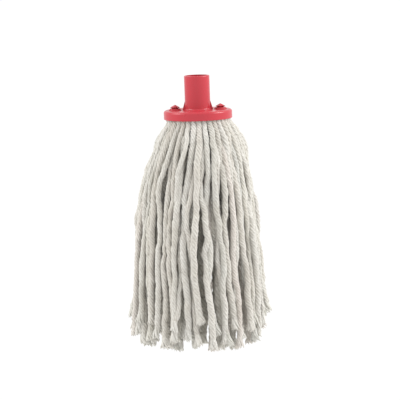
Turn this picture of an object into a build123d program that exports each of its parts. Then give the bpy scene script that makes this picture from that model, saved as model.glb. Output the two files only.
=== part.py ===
from build123d import *
import math
import os

# Socket mop head: a moulded plastic socket with a round flange, a clamp plate that holds a hank of
# cotton yarn up inside the flange, and the yarn's free ends hanging in twelve bunches.
# Millimetres, +Z up. The origin is the centre of the handle socket's mouth, so all is below it.

# Handle tube
TUBE_D = 29.0
BORE_D = 25.0
BORE_DEPTH = 38.0
TUBE_HEIGHT = 39.0  # mouth to the flange's top face
MOUTH_R = 0.7
FOOT_R = 2.0
RIB_HEIGHT = 10.0
RIB_REACH = 3.0
RIB_THICKNESS = 3.0

# Flange, a shallow cup that opens downwards
FLANGE_D = 78.0
FLANGE_HEIGHT = 10.2
WALL = 2.7
FLANGE_EDGE_R = 2.8
RIM_EDGE_R = 0.7
PAD_D = 15.0
PAD_HEIGHT = 1.0
PAD_EDGE_R = 0.6

# Clamp plate and its two barbed spikes
PLATE_D = 59.0
PLATE_THICKNESS = 2.2
PLATE_DROP = 7.4  # flange's top face to the plate's top face
SPIKE_RADIUS = 25.8  # distance of each spike from the mop's axis
SPIKE_D = 5.0
SPIKE_CLEARANCE = 0.2
SPIKE_PLAY_IN_YARN = 0.4
SPIKE_HEAD_BASE = 3.7  # heights above the flange's top face
SPIKE_HEAD_TOP = 6.4
SPIKE_HEAD_WIDTH = 7.4
HUB_D = 26.0
HUB_WALL = 2.4
HUB_HEIGHT = 3.4

# Star locks pushed onto the spikes
CROWN_D = 12.4
CROWN_BASE = 1.0
CROWN_TOP = 3.5  # petal tips above the flange's top face
CROWN_PETALS = 6
CROWN_SLOT = 1.3
CROWN_SKIN = 1.1

# Clamped middle of the yarn hank
YARN_GAP = 0.1
UPPER_LAYER = 2.4
UPPER_MOUTH = 2.6
LAYER_CORNER_R = 1.4

# Yarn
YARN_D = 6.2
NECK_D = 5.4  # squeezed where the yarns leave the rim side by side
NECK_LENGTH = 12.0
ROOT_CLEARANCE = 0.7
ROOT_CHAMFER = 2.2  # room for the outer yarns to swing out under the rim
BUNCHES = 12

# Where the yarns hang: (radius, height) points from the rim to the tip, at the usual length
OUTER_ROUTE = [
    (33.6, -54.2),
    (42.4, -67.5),
    (50.8, -90.0),
    (58.0, -120.0),
    (62.6, -158.0),
    (66.0, -198.0),
    (70.0, -242.0),
    (73.0, -288.0),
]
MIDDLE_ROUTE = [
    (28.0, -55.8),
    (35.4, -70.5),
    (44.2, -94.5),
    (51.4, -125.0),
    (56.2, -162.0),
    (59.6, -203.0),
    (63.4, -248.0),
    (66.8, -294.0),
]
INNER_ROUTE = [
    (22.8, -57.5),
    (27.4, -74.0),
    (33.5, -100.0),
    (38.6, -132.0),
    (42.4, -169.0),
    (45.0, -210.0),
    (48.0, -254.0),
    (51.5, -297.0),
]
CORE_ROUTE = [
    (17.1, -59.2),
    (19.3, -76.0),
    (22.3, -103.0),
    (25.0, -136.0),
    (27.0, -173.0),
    (28.4, -214.0),
    (30.2, -258.0),
    (33.0, -298.0),
]

# Rings of yarn in each bunch: name, route, and the angles of its yarns from the bunch's middle
RINGS = [
    ("outer", OUTER_ROUTE, (-10.0, 0.0, 10.0)),
    ("middle", MIDDLE_ROUTE, (-5.0, 5.0)),
    ("inner", INNER_ROUTE, (-7.5, 7.5)),
    ("core", CORE_ROUTE, (0.0,)),
]

# How much lower than usual the yarns end: each bunch's trim, and single yarns by turns
TRIM = (-15.0, -5.0, 0.0, 0.0, 2.0, -3.0, -8.0, -2.0, 0.0, 0.0, 4.0, 2.0)
UNEVEN = (0.0, -7.0, 5.0, 11.0, -3.0, 8.0, -10.0, 3.0, 13.0, -5.0, 6.0)

FLANGE_TOP = -TUBE_HEIGHT
ROOF = FLANGE_TOP - WALL
RIM = FLANGE_TOP - FLANGE_HEIGHT
PLATE_TOP = FLANGE_TOP - PLATE_DROP
PLATE_BOTTOM = PLATE_TOP - PLATE_THICKNESS
ROOT_BALL = NECK_D / 2 + ROOT_CLEARANCE

LOW = (Align.CENTER, Align.CENTER, Align.MIN)
HIGH = (Align.CENTER, Align.CENTER, Align.MAX)


def disc(diameter, bottom, top):
    """A cylinder about the mop's axis between two heights."""
    return Pos(0, 0, bottom) * Cylinder(diameter / 2, top - bottom, align=LOW)


def turned(points, rounded=()):
    """A solid of revolution about the mop's axis. rounded holds (corner, radius) pairs."""
    section = Plane.XZ * make_face(Polyline(*points, close=True))
    for (radius, height), corner_r in rounded:
        corner = section.vertices().sort_by_distance((radius, 0, height))[0]
        section = fillet(corner, corner_r)
    return revolve(section, Axis.Z)


def on_both_sides(shape):
    """The shape as it stands at the right-hand lock, and its twin at the left-hand lock."""
    return Pos(SPIKE_RADIUS, 0, 0) * shape, Pos(-SPIKE_RADIUS, 0, 0) * shape


def socket():
    """The moulding: handle tube with a blind bore, ribs at its foot, and the cup-shaped flange."""
    tube_r = TUBE_D / 2
    bore_r = BORE_D / 2
    flange_r = FLANGE_D / 2
    cup_r = flange_r - WALL
    outline = [
        (0, ROOF),
        (0, -BORE_DEPTH),
        (bore_r, -BORE_DEPTH),
        (bore_r, 0),
        (tube_r, 0),
        (tube_r, FLANGE_TOP),
        (flange_r, FLANGE_TOP),
        (flange_r, RIM),
        (cup_r, RIM),
        (cup_r, ROOF),
    ]
    corners = [
        ((tube_r, 0), MOUTH_R),
        ((tube_r, FLANGE_TOP), FOOT_R),
        ((flange_r, FLANGE_TOP), FLANGE_EDGE_R),
        ((flange_r, RIM), RIM_EDGE_R),
        ((cup_r, RIM), RIM_EDGE_R),
        ((cup_r, ROOF), MOUTH_R),
    ]
    body = turned(outline, corners)
    for turn in (0, 180):
        body += Rot(0, 0, turn) * foot_rib()
    pad = Pos(0, 0, ROOF + WALL / 2) * Cylinder(PAD_D / 2, WALL / 2 + PAD_HEIGHT, align=LOW)
    pad = fillet(pad.edges().sort_by(Axis.Z)[-1], PAD_EDGE_R)
    hole = Pos(0, 0, RIM) * Cylinder(SPIKE_D / 2 + SPIKE_CLEARANCE, FLANGE_HEIGHT + 2 * PAD_HEIGHT, align=LOW)
    for one in on_both_sides(pad):
        body += one
    for one in on_both_sides(hole):
        body -= one
    return body


def foot_rib():
    """A thin triangular rib between the tube's foot and the flange, on the +X side."""
    inside = TUBE_D / 2 - 1.0
    outside = TUBE_D / 2 + RIB_REACH
    base = FLANGE_TOP - WALL / 2
    outline = Polyline(
        (inside, base),
        (outside, base),
        (outside, FLANGE_TOP),
        (TUBE_D / 2, FLANGE_TOP + RIB_HEIGHT),
        (inside, FLANGE_TOP + RIB_HEIGHT),
        close=True,
    )
    return extrude(Plane.XZ * make_face(outline), RIB_THICKNESS / 2, both=True)


def spike():
    """A round post from the plate up through the flange, with a four-sided barbed point."""
    post_top = FLANGE_TOP + SPIKE_HEAD_BASE
    post = Pos(0, 0, PLATE_BOTTOM) * Cylinder(SPIKE_D / 2, post_top - PLATE_BOTTOM, align=LOW)
    foot = Plane(origin=(0, 0, post_top)) * Rectangle(SPIKE_HEAD_WIDTH, SPIKE_HEAD_WIDTH)
    slope = math.degrees(math.atan(SPIKE_HEAD_WIDTH / 2 / (SPIKE_HEAD_TOP - SPIKE_HEAD_BASE)))
    head = extrude(foot, (SPIKE_HEAD_TOP - SPIKE_HEAD_BASE) * 0.94, taper=slope)
    return post + Rot(0, 0, 30) * head


def clamp_plate():
    """The disc under the hank, with a stiffening hub below and the two spikes above."""
    plate = disc(PLATE_D, PLATE_BOTTOM, PLATE_TOP)
    plate = fillet(plate.edges().sort_by(Axis.Z)[-1], PLATE_THICKNESS * 0.45)
    hub_bottom = PLATE_BOTTOM - HUB_HEIGHT
    hub = disc(HUB_D, hub_bottom, PLATE_BOTTOM) - disc(HUB_D - 2 * HUB_WALL, hub_bottom, PLATE_BOTTOM)
    for turn in (0, 60, 120):
        web = Pos(0, 0, hub_bottom) * Box(HUB_D - HUB_WALL, HUB_WALL * 0.75, HUB_HEIGHT, align=LOW)
        hub += Rot(0, 0, turn) * web
    plate += hub
    for one in on_both_sides(spike()):
        plate += one
    return plate


def lock_crown():
    """A star lock: a flat ring with petals bent up and out round the spike."""
    seat = FLANGE_TOP + PAD_HEIGHT
    ring_top = seat + CROWN_BASE
    petal_top = FLANGE_TOP + CROWN_TOP
    hole_r = SPIKE_D / 2 + SPIKE_CLEARANCE / 2
    ring = Pos(0, 0, seat) * Cylinder(CROWN_D / 2, CROWN_BASE, align=LOW)
    ring = fillet(ring.edges().sort_by(Axis.Z)[-1], CROWN_BASE * 0.4)
    flare = CROWN_D / 2 - 0.4
    rise = petal_top - ring_top
    cup = Pos(0, 0, ring_top) * Cone(hole_r + CROWN_SKIN, flare, rise, align=LOW)
    cup -= Pos(0, 0, ring_top) * Cone(hole_r, flare - CROWN_SKIN, rise, align=LOW)
    for petal in range(CROWN_PETALS // 2):
        slot = Pos(0, 0, ring_top + 0.3) * Box(CROWN_D * 1.2, CROWN_SLOT, rise, align=LOW)
        cup -= Rot(0, 0, petal * 360 / CROWN_PETALS) * slot
    crown = ring + cup
    crown -= Pos(0, 0, seat) * Cylinder(hole_r, CROWN_BASE + rise, align=LOW)
    return crown


def spike_passages(bottom, top):
    """The two holes that the spikes push through the clamped yarn."""
    passage = Pos(0, 0, bottom) * Cylinder(SPIKE_D / 2 + SPIKE_PLAY_IN_YARN, top - bottom, align=LOW)
    return on_both_sides(passage)


def clamped_yarn_upper():
    """The upper layer of the hank, pressed against the flange's roof, which gives the outer ring."""
    outside = FLANGE_D / 2 - WALL - YARN_GAP * 3
    inside = outside - UPPER_MOUTH
    top = ROOF - YARN_GAP
    bottom = top - UPPER_LAYER
    roots = OUTER_ROUTE[0][1] + ROOT_BALL
    outline = [
        (0, top),
        (outside, top),
        (outside, roots + ROOT_CHAMFER),
        (outside - ROOT_CHAMFER, roots),
        (inside, roots),
        (inside, bottom),
        (0, bottom),
    ]
    layer = turned(outline, [((outside, top), LAYER_CORNER_R)])
    for one in spike_passages(bottom, top):
        layer -= one
    return layer


def clamped_yarn_lower():
    """The lower layer, on the plate and round its edge, which gives the three inner rings."""
    outside = FLANGE_D / 2 - WALL - YARN_GAP * 4 - UPPER_MOUTH
    top = ROOF - YARN_GAP * 2 - UPPER_LAYER
    edge = PLATE_D / 2 + YARN_GAP * 2
    under = PLATE_BOTTOM - YARN_GAP * 2
    inner_edge = HUB_D / 2 + 1.0
    starts = [route[0][0] for _, route, _ in RINGS]
    steps = [route[0][1] + ROOT_BALL for _, route, _ in RINGS]
    outline = [(0, top), (outside, top), (outside, steps[0])]
    for ring in (1, 2, 3):
        between = (starts[ring - 1] + starts[ring]) / 2
        outline += [(between, steps[ring - 1]), (between, steps[ring])]
    outline += [
        (inner_edge, steps[3]),
        (inner_edge, under),
        (edge, under),
        (edge, PLATE_TOP + YARN_GAP),
        (0, PLATE_TOP + YARN_GAP),
    ]
    layer = turned(outline, [((outside, top), LAYER_CORNER_R)])
    for one in spike_passages(PLATE_TOP, top):
        layer -= one
    return layer


def hung_to(route, tip_height):
    """The route stretched or shortened so that its tip is at that height."""
    start = route[0][1]
    stretch = (tip_height - start) / (route[-1][1] - start)
    return [(radius, start + (height - start) * stretch) for radius, height in route]


def tip_height(route, bunch, number):
    """Where one yarn ends."""
    return route[-1][1] - TRIM[bunch] - UNEVEN[number % len(UNEVEN)]


def arc_radii(points):
    """The largest easy bend at each corner of a route: 0.45 of the shorter run each side of it."""
    radii = []
    for before, corner, after in zip(points, points[1:], points[2:]):
        run_in = corner - before
        run_out = after - corner
        half_turn = math.radians(run_in.get_angle(run_out)) / 2
        radii.append(0.45 * min(run_in.length, run_out.length) / math.tan(half_turn))
    return radii


def yarn(route):
    """One free end in the XZ plane: a rounded root, a squeezed neck, then the full strand."""
    points = [Vector(radius, 0, height) for radius, height in route]
    along = (points[1] - points[0]).normalized()
    neck_end = points[0] + along * NECK_LENGTH
    towards_root = along * -1
    root = Plane(origin=points[0], z_dir=towards_root)
    ball = root * Sphere(NECK_D / 2, arc_size1=0, align=LOW)
    neck = root * Cone(YARN_D / 2, NECK_D / 2, NECK_LENGTH, align=HIGH)
    line = [neck_end] + points[1:]
    path = FilletPolyline(*line, radius=arc_radii(line))
    strand = sweep(Plane(origin=neck_end, z_dir=along) * Circle(YARN_D / 2), path=path)
    return ball + neck + strand


def bunch_ring(bunch, route, offsets):
    """One ring's yarns of one bunch, as separate solids."""
    strands = []
    for place, offset in enumerate(offsets):
        angle = bunch * 360 / BUNCHES + offset
        number = bunch * len(offsets) + place
        hung = hung_to(route, tip_height(route, bunch, number))
        strands.append(Rot(0, 0, angle) * yarn(hung))
    return Compound(children=strands)


os.makedirs("parts", exist_ok=True)

crowns = on_both_sides(lock_crown())
parts = {
    "socket": socket(),
    "clamp_plate": clamp_plate(),
    "lock_crown_right": crowns[0],
    "lock_crown_left": crowns[1],
    "clamped_yarn_upper": clamped_yarn_upper(),
    "clamped_yarn_lower": clamped_yarn_lower(),
}
for bunch in range(BUNCHES):
    for ring, route, offsets in RINGS:
        parts[f"bunch_{bunch + 1:02d}_{ring}_yarns"] = bunch_ring(bunch, route, offsets)

for name, shape in parts.items():
    export_step(shape, f"parts/{name}.step")
    print(name, round(shape.volume))
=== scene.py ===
import math

import bpy
import numpy as np
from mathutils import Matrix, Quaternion, Vector


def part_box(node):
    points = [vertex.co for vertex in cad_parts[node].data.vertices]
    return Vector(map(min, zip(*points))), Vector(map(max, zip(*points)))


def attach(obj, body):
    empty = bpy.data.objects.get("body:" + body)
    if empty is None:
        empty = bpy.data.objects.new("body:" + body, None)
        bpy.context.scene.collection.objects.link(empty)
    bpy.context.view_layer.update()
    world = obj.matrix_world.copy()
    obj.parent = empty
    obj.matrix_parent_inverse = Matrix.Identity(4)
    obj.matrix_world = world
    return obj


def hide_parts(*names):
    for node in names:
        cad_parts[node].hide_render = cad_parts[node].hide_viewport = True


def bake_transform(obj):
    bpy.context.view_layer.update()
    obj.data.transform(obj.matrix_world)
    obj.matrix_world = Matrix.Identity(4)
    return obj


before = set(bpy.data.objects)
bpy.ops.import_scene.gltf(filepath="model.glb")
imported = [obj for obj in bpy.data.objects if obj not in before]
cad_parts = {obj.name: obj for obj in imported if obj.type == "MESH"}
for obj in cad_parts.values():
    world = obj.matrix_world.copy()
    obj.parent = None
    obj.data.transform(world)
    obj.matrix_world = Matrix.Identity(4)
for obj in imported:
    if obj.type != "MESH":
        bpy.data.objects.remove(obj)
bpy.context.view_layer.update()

# Socket mop head. The moulded plastic keeps its CAD shape and gets its finish here. Every yarn end is
# rebuilt as a twisted, hairy cotton strand with a frayed tip, gripped in the flange above. Metres, Z up,
# origin at the centre of the handle socket's mouth.

MM = 0.001
RNG = np.random.default_rng(8)

# ---------------------------------------------------------------- camera

TARGET = Vector((-1.1 * MM, 0.0, -142.7 * MM))
CAMERA_DISTANCE = 5.0
CAMERA_ELEVATION = math.radians(6.0)
CAMERA_ROLL = math.radians(-2.0)
VIEW_WIDTH = 456.8 * MM  # width of the picture at the mop


def direction(azimuth, elevation):
    """From the mop towards that place: azimuth 0 is in front, at -Y, and 90 degrees is at +X."""
    level = math.cos(elevation)
    return Vector((math.sin(azimuth) * level, -math.cos(azimuth) * level, math.sin(elevation)))


def put(name, data):
    """A new object in the scene, holding that data."""
    obj = bpy.data.objects.new(name, data)
    bpy.context.scene.collection.objects.link(obj)
    return obj


def make_camera():
    """A long lens in front of the mop and a little above it."""
    data = bpy.data.cameras.new("camera")
    data.sensor_width = 36
    data.lens = data.sensor_width * CAMERA_DISTANCE / VIEW_WIDTH
    data.clip_end = 200
    camera = put("camera", data)
    back = direction(0, CAMERA_ELEVATION)
    camera.location = TARGET + back * CAMERA_DISTANCE
    camera.rotation_mode = "QUATERNION"
    camera.rotation_quaternion = (-back).to_track_quat("-Z", "Y") @ Quaternion((0, 0, 1), CAMERA_ROLL)
    bpy.context.scene.camera = camera


make_camera()

# ---------------------------------------------------------------- yarn routes

BUNCHES = 12

# (radius, height) points of each ring's yarns, from the rim to the tip, at the usual length
ROUTES = {
    "outer": [
        (0.0336, -0.0542),
        (0.0424, -0.0675),
        (0.0508, -0.0900),
        (0.0580, -0.1200),
        (0.0626, -0.1580),
        (0.0660, -0.1980),
        (0.0700, -0.2420),
        (0.0730, -0.2880),
    ],
    "middle": [
        (0.0280, -0.0558),
        (0.0354, -0.0705),
        (0.0442, -0.0945),
        (0.0514, -0.1250),
        (0.0562, -0.1620),
        (0.0596, -0.2030),
        (0.0634, -0.2480),
        (0.0668, -0.2940),
    ],
    "inner": [
        (0.0228, -0.0575),
        (0.0274, -0.0740),
        (0.0335, -0.1000),
        (0.0386, -0.1320),
        (0.0424, -0.1690),
        (0.0450, -0.2100),
        (0.0480, -0.2540),
        (0.0515, -0.2970),
    ],
    "core": [
        (0.0171, -0.0592),
        (0.0193, -0.0760),
        (0.0223, -0.1030),
        (0.0250, -0.1360),
        (0.0270, -0.1730),
        (0.0284, -0.2140),
        (0.0302, -0.2580),
        (0.0330, -0.2980),
    ],
}
# Two more points of each line, up inside the flange, and the angles there, where the yarns are gripped
GRIPS = {
    "outer": [(0.0330, -0.0446), (0.0337, -0.0492)],
    "middle": [(0.0316, -0.0448), (0.0312, -0.0498)],
    "inner": [(0.0316, -0.0450), (0.0306, -0.0502)],
    "core": [(0.0316, -0.0452), (0.0302, -0.0506)],
}
OFFSETS = {"outer": (-10, 0, 10), "middle": (-5, 5), "inner": (-7.5, 7.5), "core": (0,)}
GRIP_OFFSETS = {"outer": (-10, 0, 10), "middle": (-6, 6), "inner": (-12, 12), "core": (0,)}
# How many millimetres lower than usual the yarns end: each bunch's trim, and single yarns by turns
TRIM = (-15, -5, 0, 0, 2, -3, -8, -2, 0, 0, 4, 2)
UNEVEN = (0, -7, 5, 11, -3, 8, -10, 3, 13, -5, 6)
# How much of that unevenness shows in each ring's strands, and how many millimetres lower they end
HEM = {"outer": (1.0, 0), "middle": (0.4, 7), "inner": (0.4, 7), "core": (0.4, 8)}
# Single yarns that end higher than that: (ring, bunch, place) and how many millimetres
SHORTER = {
    ("outer", 1, 3): 6,
    ("outer", 2, 1): 14,
    ("outer", 12, 3): 9,
    ("outer", 6, 2): 10,
    ("outer", 8, 2): 7,
    ("middle", 1, 1): 7,
    ("middle", 1, 2): 8,
}

# How the strands hang off those routes
SKIRT_DEPTH = 240 * MM
LEAN = (  # how far the skirt hangs towards -X of the tilted socket's axis: (depth, lean)
    (0.0, -1.0 * MM),
    (30 * MM, 0.0),
    (65 * MM, 4.6 * MM),
    (160 * MM, 6.2 * MM),
    (240 * MM, 5.0 * MM),
)
# How much further out than its route each ring hangs, from about that depth down
BULGE = {"outer": 1.2 * MM, "middle": 7.8 * MM, "inner": 11.0 * MM, "core": 11.0 * MM}
BULGE_DEPTH = 12 * MM
STAGGER = (1.0 * MM, 2.0 * MM, 2.2 * MM)  # how far in front of or behind the rest an outer yarn starts
STRAY_ROUND = 6.0 * MM  # the furthest a tip strays from its route, round the skirt
STRAY_OUT = 2.0 * MM
WAVE = 3.2 * MM  # how far one point strays from its yarn's own drift
LIMIT = {"outer": 9.0 * MM, "middle": 7.0 * MM, "inner": 6.5 * MM, "core": 6.0 * MM}
TOUCH = 6.3 * MM  # nearest that the lines of two full yarns come
TOUCH_AT_ROOT = 5.2 * MM
SETTLE_ROUNDS = 50
# Dark partings between the front yarns: (x, height) points down each
PARTINGS = [
    [(-4.6, -119), (-12.0, -150), (-14.3, -179), (-14.2, -205)],
    [(4.2, -118), (2.4, -133), (-2.6, -160), (-5.7, -184), (-6.3, -209)],
    [(19.4, -128), (19.2, -146)],
]
PARTING_HALF = 4.8 * MM  # from a parting to the lines of the yarns beside it
FRONT = -40 * MM  # the front yarns' lines are in front of this


def tip_height(ring, bunch, place, count):
    """Where one yarn ends, of the count that its bunch has in that ring. Bunch and place start at 0."""
    share, lower = HEM[ring]
    uneven = UNEVEN[(bunch * count + place) % len(UNEVEN)] * share
    shorter = SHORTER.get((ring, bunch + 1, place + 1), 0)
    return ROUTES[ring][-1][1] - (TRIM[bunch] + uneven + lower - shorter) * MM


def hung(ring, tip):
    """The ring's route stretched or shortened so that its tip is at that height."""
    route = np.array(ROUTES[ring])
    start = route[0, 1]
    route[:, 1] = start + (route[:, 1] - start) * (tip - start) / (route[-1, 1] - start)
    return route


def turned(route, angle):
    """(radius, height) points as points in space at that angle round the mop."""
    radius, height = np.array(route, float).T
    a = math.radians(angle)
    return np.stack([radius * math.cos(a), radius * math.sin(a), height], axis=1)


def yarn_list():
    """One dict per yarn end: its ring, bunch, angles and the points of its route."""
    yarns = []
    for bunch in range(BUNCHES):
        for ring, offsets in OFFSETS.items():
            for place, offset in enumerate(offsets):
                angle = bunch * 360 / BUNCHES + offset
                grip_angle = bunch * 360 / BUNCHES + GRIP_OFFSETS[ring][place]
                route = hung(ring, tip_height(ring, bunch, place, len(offsets)))
                yarns.append({
                    "ring": ring,
                    "bunch": bunch + 1,
                    "place": place + 1,
                    "angle": angle,
                    "grip": turned(GRIPS[ring], grip_angle),
                    "home": turned(route, angle),
                })
    return yarns


def drape(yarn):
    """Leans and swells the yarn's home, then gives it a drift and waves of its own."""
    home = yarn["home"]
    a = math.radians(yarn["angle"])
    outward = np.array([math.cos(a), math.sin(a), 0])
    around = np.array([-math.sin(a), math.cos(a), 0])
    depth = home[0, 2] - home[:, 2]
    share = depth / SKIRT_DEPTH
    home[:, 0] -= np.interp(depth, *zip(*LEAN))
    swell = 1 - np.exp(-((depth / BULGE_DEPTH) ** 1.5))
    home += outward * (BULGE[yarn["ring"]] * swell)[:, None]
    if yarn["ring"] == "outer":
        home[: len(STAGGER)] += outward * RNG.uniform(-1, 1) * np.array(STAGGER)[:, None]
    drift = RNG.uniform(-1, 1, 2)
    wave = RNG.uniform(-1, 1, (len(home), 2)) * WAVE * np.clip(share * 7, 0, 1 + share)[:, None]
    round_it = drift[0] * STRAY_ROUND * share**0.6 + wave[:, 0]
    out_of_it = drift[1] * STRAY_OUT * share + wave[:, 1] * 0.6
    yarn["points"] = home + around * round_it[:, None] + outward * out_of_it[:, None]


def others_at(points, heights):
    """Where every yarn is at each of those heights, as [height, yarn, xy]."""
    found = np.empty((len(heights), len(points), 2))
    for k, line in enumerate(points):
        for axis in (0, 1):
            found[:, k, axis] = np.interp(-heights, -line[:, 2], line[:, axis])
    return found


def parted(places):
    """How far each place moves along X to keep out of the partings at its height."""
    x, y, z = places.T
    push = np.zeros(len(x))
    for parting in PARTINGS:
        across, heights = np.array(parting).T * MM
        gap = x - np.interp(-z, -heights, across)
        beside = (y < FRONT) & (z < heights[0]) & (z > heights[-1]) & (np.abs(gap) < PARTING_HALF)
        push += np.where(beside, np.sign(gap) * (PARTING_HALF - np.abs(gap)) * 0.5, 0)
    return push


def settle(yarns):
    """Moves the yarns' points apart until no two strands lie in each other, each within its limit."""
    homes = np.array([yarn["home"] for yarn in yarns])
    points = np.array([yarn["points"] for yarn in yarns])
    wish = points.copy()
    limits = np.array([LIMIT[yarn["ring"]] for yarn in yarns])[:, None]
    tips = points[:, -1, 2]
    for _ in range(SETTLE_ROUNDS):
        for i in range(1, points.shape[1]):
            heights = points[:, i, 2]
            apart = points[:, i, None, :2] - others_at(points, heights)
            distance = np.linalg.norm(apart, axis=2)
            touch = TOUCH_AT_ROOT + (TOUCH - TOUCH_AT_ROOT) * min(1, i / 2)
            near = (distance < touch) & (distance > 1e-6) & (tips[None, :] < heights[:, None] + TOUCH)
            push = np.where(near, (touch - distance) / np.maximum(distance, 1e-6), 0)
            points[:, i, :2] += (apart * push[:, :, None]).sum(1) * 0.45
            points[:, i, :2] += (wish[:, i, :2] - points[:, i, :2]) * 0.02
            points[:, i, 0] += parted(points[:, i])
            moved = points[:, i, :2] - homes[:, i, :2]
            far = np.maximum(np.linalg.norm(moved, axis=1, keepdims=True), 1e-9)
            points[:, i, :2] = homes[:, i, :2] + moved * np.minimum(1, limits / far)
    for yarn, line in zip(yarns, points):
        yarn["points"] = line


def smooth_line(points):
    """Points along the NURBS line that has those control points."""
    data = bpy.data.curves.new("line", "CURVE")
    data.dimensions = "3D"
    spline = data.splines.new("NURBS")
    spline.points.add(len(points) - 1)
    for point, place in zip(spline.points, points):
        point.co = (*place, 1)
    spline.order_u = 3
    spline.use_endpoint_u = True
    spline.resolution_u = 12
    obj = bpy.data.objects.new("line", data)
    mesh = bpy.data.meshes.new_from_object(obj)
    line = np.array([v.co for v in mesh.vertices], float)
    bpy.data.objects.remove(obj)
    bpy.data.curves.remove(data)
    bpy.data.meshes.remove(mesh)
    return line


# ---------------------------------------------------------------- yarn strands

YARN_D = 7.3 * MM
FULLER = {"outer": 1.0, "middle": 1.08, "inner": 1.3, "core": 1.5}  # the soft strands inside fill out more
GRIPPED_D = 4.4 * MM
ROOT_D = 6.2 * MM
SWELL_DEPTH = 10 * MM  # below the rim, where a strand reaches its full width
RING_STEP = 1.6 * MM
PLIES = 6
SIDES_OF_PLY = 4
PLY_OUTLINE = (1.0, 0.95, 0.81, 0.93)  # across one ply, from its crest over the groove to the next
CREST_PAINTED_SHADE = 0.2  # of the painted groove shade, put on a ply's crest too: only the frayed ends are left lighter
LAY_LENGTH = 29 * MM  # one turn of the twist
TWIST = -1
FRAY = 14 * MM
KINK = 1.0 * MM  # how far a strand's own kinks take it off its line
TUFTS = 14
BRUSH_REACH = 5.7 * MM  # how far a frayed end opens from the strand's line
TUFT_SIDES = 6
TUFT_TAPER = np.array([1, 1, 1, 1, 0.97, 0.9, 0.75, 0.2])
HAIR_R = 0.075 * MM
SIDE_HAIRS = 110  # loose fibres on one strand
FIRST_HAIR_RING = 6  # the rings above it are gripped in the flange
TIP_HAIRS = 3  # loose fibres on one tuft


def rows_at(places, along, rows):
    """The rows of xyz values, known at the lengths along, read off at those places."""
    return np.stack([np.interp(places, along, rows[:, k]) for k in range(3)], axis=1)


def evenly(line, step):
    """The line again, with points a step apart, and its length along to each."""
    runs = np.linalg.norm(np.diff(line, axis=0), axis=1)
    along = np.concatenate([[0], np.cumsum(runs)])
    places = np.linspace(0, along[-1], max(4, int(round(along[-1] / step)) + 1))
    return rows_at(places, along, line), places


def frames_along(line):
    """Tangent, normal and binormal at each point, without twist."""
    tangents = np.gradient(line, axis=0)
    tangents /= np.linalg.norm(tangents, axis=1, keepdims=True)
    normal = np.cross(tangents[0], (0.0, 0.0, 1.0)) + np.array([1e-4, 2e-4, 0])
    normals = []
    for tangent in tangents:
        normal = normal - tangent * normal.dot(tangent)
        normal /= np.linalg.norm(normal)
        normals.append(normal)
    normals = np.array(normals)
    return tangents, normals, np.cross(tangents, normals)


class Shell:
    """A mesh in the making: points, faces, and each point's fibre coordinate, painted shade and tint."""

    def __init__(self):
        self.points, self.faces, self.lay, self.painted_shade_and_tint = [], [], [], []
        self.count = 0

    def tube(self, rings, lay, painted_shade, tint, closed_start=True, closed_end=True):
        """Adds a tube from rings[ring, side, xyz], with end caps."""
        count, sides = rings.shape[:2]
        first = self.count
        index = first + np.arange(count * sides).reshape(count, sides)
        a, b = index[:-1], index[1:]
        quads = np.stack([a, np.roll(a, -1, 1), np.roll(b, -1, 1), b], axis=2).reshape(-1, 4)
        self.faces += quads.tolist()
        if closed_start:
            self.faces.append(index[0, ::-1].tolist())
        if closed_end:
            self.faces.append(index[-1].tolist())
        self.points.append(rings.reshape(-1, 3))
        self.lay.append(lay.reshape(-1, 3))
        painted_shade_and_tint = np.empty((count, sides, 3))
        painted_shade_and_tint[:, :, 0] = painted_shade
        painted_shade_and_tint[:, :, 1:] = tint
        self.painted_shade_and_tint.append(painted_shade_and_tint.reshape(-1, 3))
        self.count += count * sides

    def mesh(self, name):
        """The finished mesh, smooth, with its fibre coordinate and its painted shade and tint as
        attributes.
        """
        mesh = bpy.data.meshes.new(name)
        mesh.from_pydata(np.concatenate(self.points).tolist(), [], self.faces)
        for label, values in (("lay", self.lay), ("painted_shade_and_tint", self.painted_shade_and_tint)):
            attribute = mesh.attributes.new(label, "FLOAT_VECTOR", "POINT")
            attribute.data.foreach_set("vector", np.concatenate(values).astype(np.float32).ravel())
        mesh.polygons.foreach_set("use_smooth", [True] * len(mesh.polygons))
        mesh.update()
        return mesh


def width_along(line, along, full):
    """The strand's diameter at each point: gripped, squeezed at the rim, then about full, with slubs."""
    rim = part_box("socket")[0].z
    depth = rim - line[:, 2]
    swell = np.clip(depth / SWELL_DEPTH, 0, 1) ** 0.7
    width = ROOT_D + (full * RNG.uniform(0.8, 1.07) - ROOT_D) * swell
    squeezed = np.clip(-depth / (3 * MM), 0, 1)
    width = width + (GRIPPED_D - width) * squeezed
    slubs = 0.11 * wander(along, 24 * MM) + 0.06 * wander(along, 8 * MM)
    return width * (1 + slubs * np.clip(depth / SWELL_DEPTH, 0.3, 1))


def wander(along, period):
    """A smooth random value from about -1 to 1 along a strand, changing over about that length."""
    knots = np.arange(along[0] - 2 * period, along[-1] + 3 * period, period)
    heights = RNG.uniform(-1, 1, len(knots))
    place = (along - knots[0]) / period
    k = place.astype(int)
    t = place - k
    t = t * t * (3 - 2 * t)
    return heights[k] * (1 - t) + heights[k + 1] * t


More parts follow.
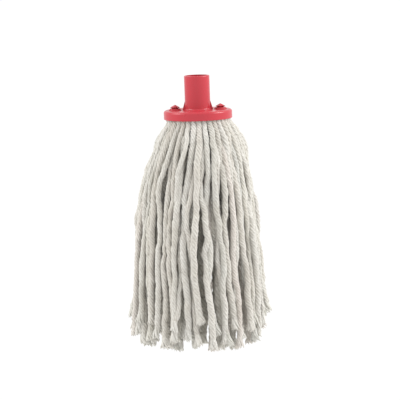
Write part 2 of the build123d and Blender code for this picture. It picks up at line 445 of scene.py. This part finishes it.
def strand(shell, line, ring):
    """Adds one twisted yarn along the line to the shell, and gives the line's own ring centres."""
    centres, along = evenly(line, RING_STEP)
    tangents, normals, binormals = frames_along(centres)
    below = np.clip((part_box("socket")[0].z - centres[:, 2]) / SWELL_DEPTH - 0.3, 0, 1)
    for across in (normals, binormals):
        kinks = KINK * wander(along, 16 * MM) + KINK * 0.5 * wander(along, 7 * MM)
        centres = centres + across * (kinks * below)[:, None]
    tangents, normals, binormals = frames_along(centres)
    radius = width_along(centres, along, YARN_D * FULLER[ring]) / 2
    length = along[-1]
    phase = RNG.uniform(0, 2 * math.pi)
    pace = 1 + 0.25 * wander(along, 30 * MM)
    turn = phase + TWIST * np.cumsum(pace) * 2 * math.pi * RING_STEP / LAY_LENGTH
    tint = RNG.uniform(0, 1, 2)
    seed = RNG.uniform(0, 1, 3)

    sides = PLIES * SIDES_OF_PLY
    side = np.arange(sides)
    outline = np.array(PLY_OUTLINE)[side % SIDES_OF_PLY]
    around = side * 2 * math.pi / sides
    body = along <= length - FRAY * 0.8
    angle = turn[body, None] + around[None, :]
    plump = [0.06 * RNG.uniform(-1, 1) + 0.09 * wander(along[body], 7 * MM) for _ in range(PLIES)]
    ply_size = 1 + np.repeat(np.stack(plump, axis=1), SIDES_OF_PLY, axis=1)
    rough = 1 + 0.05 * RNG.uniform(-1, 1, angle.shape)
    reach = radius[body, None] * outline[None, :] * ply_size * rough
    rings = (
        centres[body, None, :]
        + normals[body, None, :] * (np.cos(angle) * reach)[:, :, None]
        + binormals[body, None, :] * (np.sin(angle) * reach)[:, :, None]
    )
    lay = np.empty(rings.shape)
    lay[:, :, 0] = np.cos(around)[None, :] * radius[body, None] + seed[0]
    lay[:, :, 1] = np.sin(around)[None, :] * radius[body, None] + seed[1]
    lay[:, :, 2] = along[body, None] + seed[2]
    # Painted shade: darker where the outline dips into the groove between plies, and a little on the
    # crests.
    painted_shade = CREST_PAINTED_SHADE + (1 - CREST_PAINTED_SHADE) * (1 - outline) / (1 - min(PLY_OUTLINE))
    shell.tube(rings, lay, painted_shade[None, :], tint)

    side_hairs(shell, centres, normals, binormals, tangents, radius, seed, tint)
    reach = BRUSH_REACH * FULLER[ring]
    brush(shell, centres, along, normals, binormals, tangents, radius, turn, reach, seed, tint)
    return centres


def brush(shell, centres, along, normals, binormals, tangents, radius, turn, reach, seed, tint):
    """A strand's frayed end: its fibres open out like a brush and end unevenly."""
    length = along[-1]
    start = length - FRAY
    begun = np.interp(start, along, turn)
    opened = RNG.uniform(0.8, 1.5)
    for tuft in range(TUFTS):
        inner = tuft % 3 == 2
        stop = length - FRAY * RNG.uniform(0, 0.22)
        places = np.linspace(start, stop, len(TUFT_TAPER))
        share = (places - start) / FRAY
        middle, n, b, t = (rows_at(places, along, rows) for rows in (centres, normals, binormals, tangents))
        r = np.interp(places, along, radius)
        angle = begun + (tuft + RNG.uniform(-0.3, 0.3)) / TUFTS * 2 * math.pi
        angle = angle + TWIST * 2 * math.pi * FRAY / LAY_LENGTH * share * 0.6
        spread = opened * RNG.uniform(0.5, 0.85) * (0.4 if inner else 1)
        size = r * 0.38 * TUFT_TAPER * RNG.uniform(0.85, 1.15)
        out = np.minimum(r * ((0.3 if inner else 0.6) + spread * share**1.4), reach - size)
        centre = middle + n * (np.cos(angle) * out)[:, None] + b * (np.sin(angle) * out)[:, None]
        ring_angle = np.arange(TUFT_SIDES) * 2 * math.pi / TUFT_SIDES
        rings = (
            centre[:, None, :]
            + n[:, None, :] * (np.cos(ring_angle)[None, :] * size[:, None])[:, :, None]
            + b[:, None, :] * (np.sin(ring_angle)[None, :] * size[:, None])[:, :, None]
        )
        lay = np.empty(rings.shape)
        lay[:, :, 0] = np.cos(ring_angle)[None, :] * size[:, None] + seed[0] + tuft
        lay[:, :, 1] = np.sin(ring_angle)[None, :] * size[:, None] + seed[1]
        lay[:, :, 2] = places[:, None] + seed[2]
        # The painted shade fades out along each tuft, so the frayed ends are painted lighter.
        shell.tube(rings, lay, CREST_PAINTED_SHADE * (1 - share)[:, None], tint)
        for _ in range(TIP_HAIRS):
            k = RNG.integers(3, len(places))
            way = t[k] + (n[k] * RNG.uniform(-1, 1) + b[k] * RNG.uniform(-1, 1)) * 0.3
            root = centre[k] + (n[k] * RNG.uniform(-1, 1) + b[k] * RNG.uniform(-1, 1)) * size[k] * 0.5
            hair(shell, root, way, RNG.uniform(1.2, 2.4) * MM, seed, tint)


def hair(shell, root, way, length, seed, tint):
    """A thin bent fibre that starts at the root and goes that way."""
    way = way / np.linalg.norm(way)
    bend = np.cross(way, RNG.normal(size=3))
    bend /= np.linalg.norm(bend)
    across = np.cross(way, bend)
    share = np.linspace(0, 1, 4)
    sag = share**2 * length * RNG.uniform(0.1, 0.5)
    line = root + way * (share * length)[:, None] + bend * sag[:, None]
    angle = np.arange(3) * 2 * math.pi / 3
    size = HAIR_R * np.array([1, 0.9, 0.75, 0.4])
    rings = (
        line[:, None, :]
        + bend * (np.cos(angle)[None, :] * size[:, None])[:, :, None]
        + across * (np.sin(angle)[None, :] * size[:, None])[:, :, None]
    )
    # A loose fibre gets no painted shade.
    shell.tube(rings, rings + seed, 0.0, tint)


def side_hairs(shell, centres, normals, binormals, tangents, radius, seed, tint):
    """Loose fibres along a strand's sides, most of them lying nearly along it."""
    for _ in range(SIDE_HAIRS):
        k = RNG.integers(FIRST_HAIR_RING, len(centres) - 4)
        a = RNG.uniform(0, 2 * math.pi)
        out = normals[k] * math.cos(a) + binormals[k] * math.sin(a)
        across = np.cross(tangents[k], out)
        way = out * RNG.uniform(0.2, 0.7) + tangents[k] * RNG.uniform(-1, 1.4) + across * RNG.uniform(-1, 1)
        root = centres[k] + out * radius[k] * 0.86
        hair(shell, root, way, RNG.uniform(1.4, 2.7) * MM, seed, tint)


# ---------------------------------------------------------------- materials


def node(tree, kind, **inputs):
    """A new shader node, with those of its inputs set."""
    made = tree.nodes.new(kind)
    for name, value in inputs.items():
        made.inputs[name.replace("_", " ")].default_value = value
    return made


def start_material(name):
    """An empty material with its node tree, its Principled shader and that shader wired to the output."""
    material = bpy.data.materials.new(name)
    material.use_nodes = True
    tree = material.node_tree
    tree.nodes.clear()
    shader = tree.nodes.new("ShaderNodeBsdfPrincipled")
    output = tree.nodes.new("ShaderNodeOutputMaterial")
    tree.links.new(shader.outputs["BSDF"], output.inputs["Surface"])
    return material, tree, shader


def ramp(tree, source, stops):
    """A colour ramp fed from the source, with those (place, colour) stops."""
    made = tree.nodes.new("ShaderNodeValToRGB")
    elements = made.color_ramp.elements
    while len(elements) > 1:
        elements.remove(elements[-1])
    elements[0].position, elements[0].color = stops[0][0], (*stops[0][1], 1)
    for place, colour in stops[1:]:
        elements.new(place).color = (*colour, 1)
    tree.links.new(source, made.inputs["Fac"])
    return made.outputs["Color"]


def mixed(tree, way, factor, a, b):
    """A colour mix. factor, a and b are sockets or plain values."""
    made = tree.nodes.new("ShaderNodeMix")
    made.data_type = "RGBA"
    made.blend_type = way
    for socket, value in ((made.inputs[0], factor), (made.inputs[6], a), (made.inputs[7], b)):
        if isinstance(value, bpy.types.NodeSocket):
            tree.links.new(value, socket)
        else:
            socket.default_value = value if isinstance(value, float) else (*value, 1)
    return made.outputs[2]


def cotton():
    """Raw cotton: each yarn a slightly different cream, with painted shade in the ply grooves that leaves
    the frayed ends lighter, and fine fibres.
    """
    material, tree, shader = start_material("cotton_yarn")
    painted_shade_and_tint = tree.nodes.new("ShaderNodeAttribute")
    painted_shade_and_tint.attribute_name = "painted_shade_and_tint"
    parts = tree.nodes.new("ShaderNodeSeparateXYZ")
    tree.links.new(painted_shade_and_tint.outputs["Vector"], parts.inputs[0])
    painted_shade, tint, shade = parts.outputs
    lay = tree.nodes.new("ShaderNodeAttribute")
    lay.attribute_name = "lay"
    along = node(tree, "ShaderNodeMapping", Scale=(1, 1, 0.16))
    tree.links.new(lay.outputs["Vector"], along.inputs["Vector"])

    base = ramp(tree, tint, [
        (0.0, (0.76, 0.72, 0.68)),
        (0.25, (0.76, 0.74, 0.695)),
        (0.5, (0.77, 0.76, 0.725)),
        (0.75, (0.76, 0.745, 0.69)),
        (1.0, (0.74, 0.745, 0.72)),
    ])
    darker = ramp(tree, shade, [(0.0, (0.90, 0.895, 0.88)), (0.5, (0.98, 0.98, 0.975)), (1.0, (1, 1, 1))])
    colour = mixed(tree, "MULTIPLY", 1.0, base, darker)

    blotches = node(tree, "ShaderNodeTexNoise", Scale=45.0, Detail=3.0, Roughness=0.6)
    tree.links.new(lay.outputs["Vector"], blotches.inputs["Vector"])
    patches = ramp(tree, blotches.outputs["Fac"], [(0.3, (0.88, 0.865, 0.84)), (0.62, (1, 1, 1))])
    colour = mixed(tree, "MULTIPLY", 1.0, colour, patches)

    fibres = node(tree, "ShaderNodeTexNoise", Scale=2600.0, Detail=4.0, Roughness=0.7)
    lumps = node(tree, "ShaderNodeTexNoise", Scale=480.0, Detail=3.0, Roughness=0.65)
    tree.links.new(along.outputs["Vector"], fibres.inputs["Vector"])
    tree.links.new(lay.outputs["Vector"], lumps.inputs["Vector"])
    for noise in (fibres, lumps):
        threads = ramp(tree, noise.outputs["Fac"], [(0.36, (0.80, 0.785, 0.765)), (0.58, (1, 1, 1))])
        colour = mixed(tree, "MULTIPLY", 0.8, colour, threads)

    # Painted shade: the ply grooves darkest, the crests a little darker, the frayed ends and loose fibres
    # not at all.
    painted_groove_shade = ramp(tree, painted_shade, [
        (0.0, (1, 1, 1)),
        (CREST_PAINTED_SHADE, (0.93, 0.93, 0.925)),
        (0.6, (0.88, 0.87, 0.86)),
        (1.0, (0.71, 0.69, 0.66)),
    ])
    colour = mixed(tree, "MULTIPLY", 1.0, colour, painted_groove_shade)
    tree.links.new(colour, shader.inputs["Base Color"])

    normal = None
    for noise, depth in ((lumps, 0.0009), (fibres, 0.0004)):
        bump = node(tree, "ShaderNodeBump", Strength=0.6, Distance=depth)
        tree.links.new(noise.outputs["Fac"], bump.inputs["Height"])
        if normal:
            tree.links.new(normal, bump.inputs["Normal"])
        normal = bump.outputs["Normal"]
    tree.links.new(normal, shader.inputs["Normal"])
    shader.inputs["Roughness"].default_value = 0.92
    shader.inputs["Specular IOR Level"].default_value = 0.15
    shader.inputs["Sheen Weight"].default_value = 0.25
    shader.inputs["Sheen Roughness"].default_value = 0.6
    return material


def red_plastic():
    """Semi-gloss moulded plastic with a faint mottle and a very fine moulded grain."""
    material, tree, shader = start_material("red_plastic")
    where = tree.nodes.new("ShaderNodeTexCoord")
    mottle = node(tree, "ShaderNodeTexNoise", Scale=60.0, Detail=3.0, Roughness=0.55)
    grain = node(tree, "ShaderNodeTexNoise", Scale=1400.0, Detail=2.0, Roughness=0.5)
    for noise in (mottle, grain):
        tree.links.new(where.outputs["Object"], noise.inputs["Vector"])
    colour = ramp(tree, mottle.outputs["Fac"], [(0.3, (0.44, 0.030, 0.043)), (0.7, (0.455, 0.032, 0.046))])
    tree.links.new(colour, shader.inputs["Base Color"])
    rough = ramp(tree, mottle.outputs["Fac"], [(0.3, (0.27, 0.27, 0.27)), (0.7, (0.31, 0.31, 0.31))])
    tree.links.new(rough, shader.inputs["Roughness"])
    bump = node(tree, "ShaderNodeBump", Strength=0.06, Distance=0.0001)
    tree.links.new(grain.outputs["Fac"], bump.inputs["Height"])
    tree.links.new(bump.outputs["Normal"], shader.inputs["Normal"])
    shader.inputs["IOR"].default_value = 1.49
    shader.inputs["Specular IOR Level"].default_value = 0.45
    return material


# ---------------------------------------------------------------- pieces

COTTON = cotton()
PLASTIC = red_plastic()


def make_yarns():
    """All the yarn ends. Each outer one is a piece of its own, and the rest go ring by ring."""
    yarns = yarn_list()
    for yarn in yarns:
        drape(yarn)
    settle(yarns)
    for bunch in range(1, BUNCHES + 1):
        for ring in OFFSETS:
            members = [y for y in yarns if y["bunch"] == bunch and y["ring"] == ring]
            groups = [[y] for y in members] if ring == "outer" else [members]
            for group in groups:
                shell = Shell()
                for yarn in group:
                    line = smooth_line(np.concatenate([yarn["grip"], yarn["points"]]))
                    centres = strand(shell, line, ring)
                name = f"yarn_{bunch:02d}_{ring}" + (f"_{group[0]['place']}" if ring == "outer" else "")
                obj = put(name, shell.mesh(name))
                obj.data.materials.append(COTTON)
                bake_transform(obj)
                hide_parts(f"bunch_{bunch:02d}_{ring}_yarns")


# Height, width of a strand and reach of each layer
HANK_LAYERS = ((-43.0 * MM, 2.3 * MM, 34.5 * MM), (-45.3 * MM, 1.8 * MM, 32.5 * MM))
HANK_STRANDS = 48
HANK_START = 5 * MM
SPIKE_GAP = 9.0  # degrees each side of a spike that are left free


def make_hank():
    """The clamped middle of the hank: two layers of flattened strands between the flange and the plate."""
    shell = Shell()
    for height, width, reach in HANK_LAYERS:
        for k in range(HANK_STRANDS):
            angle = (k + 0.5) * 360 / HANK_STRANDS
            if min(angle % 180, 180 - angle % 180) < SPIKE_GAP:
                continue
            radii = np.linspace(HANK_START, reach, 14)
            line = turned(np.stack([radii, np.full(14, height)], axis=1), angle)
            clamped_strand(shell, line, width)
    obj = put("clamped_hank", shell.mesh("clamped_hank"))
    obj.data.materials.append(COTTON)
    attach(obj, "head")
    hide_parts("clamped_yarn_upper", "clamped_yarn_lower")


def clamped_strand(shell, line, width):
    """One straight strand of the clamped layers, plied but without hairs."""
    tangents, normals, binormals = frames_along(line)
    sides = PLIES * 2
    side = np.arange(sides)
    outline = np.where(side % 2, 0.86, 1.0)
    around = side * 2 * math.pi / sides
    places = np.concatenate([[0], np.cumsum(np.linalg.norm(np.diff(line, axis=0), axis=1))])
    angle = TWIST * places[:, None] * 2 * math.pi / (LAY_LENGTH * 0.6) + around[None, :]
    reach = outline[None, :] * width / 2
    rings = (
        line[:, None, :]
        + normals[:, None, :] * (np.cos(angle) * reach)[:, :, None]
        + binormals[:, None, :] * (np.sin(angle) * reach)[:, :, None]
    )
    # Painted shade in the grooves of the clamped strands, and a little on their crests.
    shell.tube(rings, rings, CREST_PAINTED_SHADE + (1 - outline)[None, :] * 5, np.array([0.5, 0.6]))


def dress_plastic():
    """The CAD plastic keeps its shape and gets its finish."""
    for name in ("socket", "clamp_plate", "lock_crown_right", "lock_crown_left"):
        obj = bpy.data.objects[name]
        obj.data.materials.clear()
        obj.data.materials.append(PLASTIC)


make_yarns()
make_hank()
dress_plastic()

# ---------------------------------------------------------------- studio

FLOOR_HEIGHT = -0.9
FLOOR_SIZE = 160.0
WORLD_STRENGTH = 1.03


def make_floor():
    """A wide pale floor, well below the hanging mop."""
    half = FLOOR_SIZE / 2
    mesh = bpy.data.meshes.new("floor")
    corners = [(-half, -half), (half, -half), (half, half), (-half, half)]
    mesh.from_pydata([(x, y, FLOOR_HEIGHT) for x, y in corners], [], [(0, 1, 2, 3)])
    floor = put("floor", mesh)
    material, tree, shader = start_material("floor")
    shader.inputs["Base Color"].default_value = (1, 1, 1, 1)
    shader.inputs["Roughness"].default_value = 1.0
    shader.inputs["Specular IOR Level"].default_value = 0.0
    mesh.materials.append(material)


def soft_light(name, azimuth, elevation, distance, size, power):
    """A square soft box that faces the mop."""
    data = bpy.data.lights.new(name, "AREA")
    data.shape = "SQUARE"
    data.size = size
    data.energy = power
    lamp = put(name, data)
    away = direction(math.radians(azimuth), math.radians(elevation))
    lamp.location = TARGET + away * distance
    lamp.rotation_mode = "QUATERNION"
    lamp.rotation_quaternion = away.to_track_quat("Z", "Y")
    lamp.visible_camera = False


def make_studio():
    """Even white surroundings with a soft box on each side, the right one stronger."""
    world = bpy.data.worlds.new("studio")
    world.use_nodes = True
    background = world.node_tree.nodes["Background"]
    background.inputs["Color"].default_value = (1, 1, 1, 1)
    background.inputs["Strength"].default_value = WORLD_STRENGTH
    bpy.context.scene.world = world
    soft_light("right_box", 82, 32, 1.3, 0.6, 12.5)
    soft_light("left_box", -80, 36, 1.3, 0.6, 9)
    bpy.context.scene.view_settings.view_transform = "Standard"


make_floor()
make_studio()
